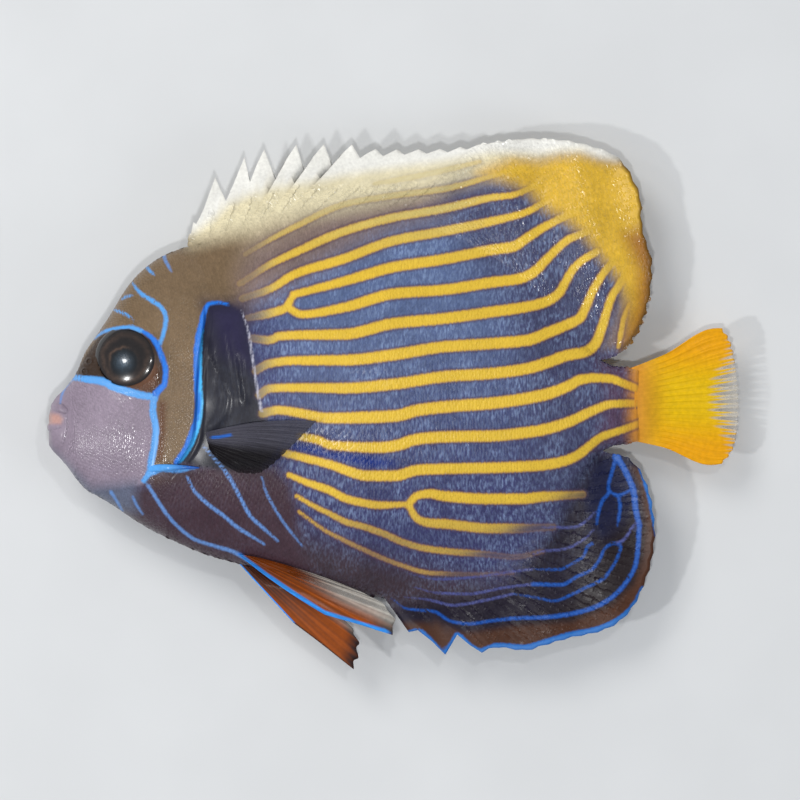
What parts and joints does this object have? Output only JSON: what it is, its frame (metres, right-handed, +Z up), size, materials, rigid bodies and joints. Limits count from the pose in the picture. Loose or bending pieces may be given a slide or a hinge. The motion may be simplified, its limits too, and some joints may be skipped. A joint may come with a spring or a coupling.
{
  "type": "emperor angelfish model",
  "caption": "Life-size still model of an emperor angelfish lying on its right side, with striped flank, spined fins and a cheek spine.",
  "frame": {"origin": "on the floor under the middle of the fish's length and depth, as it lies on its right side", "axes": "+X towards the tail, +Y towards the back and the dorsal fin, +Z up, out of the left flank"},
  "size_m": [0.1401, 0.1077, 0.0249],
  "materials": {
    "head_skin": "wet gloss, olive-brown with blue lines",
    "flank_skin": "wet gloss, dark blue with yellow stripes",
    "lip_skin": "soft gloss, pale mauve",
    "dorsal_skin": "wet gloss, yellow with a white front edge",
    "anal_skin": "wet gloss, dark brown with blue lines",
    "tail_skin": "wet gloss, orange-yellow",
    "pelvic_skin": "wet gloss, orange-brown",
    "pectoral_skin": "wet gloss, smoky grey",
    "eye": "clear gloss, near black"
  },
  "bodies": {
    "root": {"head": "head_skin", "gill_cover_left": "head_skin", "gill_cover_right": "head_skin", "upper_lip": "lip_skin", "lower_lip": "lip_skin", "eye_left": "eye", "eye_right": "eye", "trunk": "flank_skin", "tail_base": "flank_skin", "dorsal_fin": "dorsal_skin", "anal_fin": "anal_skin", "tail_fin": "tail_skin", "pectoral_fin_left": "pectoral_skin", "pectoral_fin_right": "pectoral_skin", "pelvic_fin_left": "pelvic_skin", "pelvic_fin_right": "pelvic_skin"}
  },
  "joints": []
}
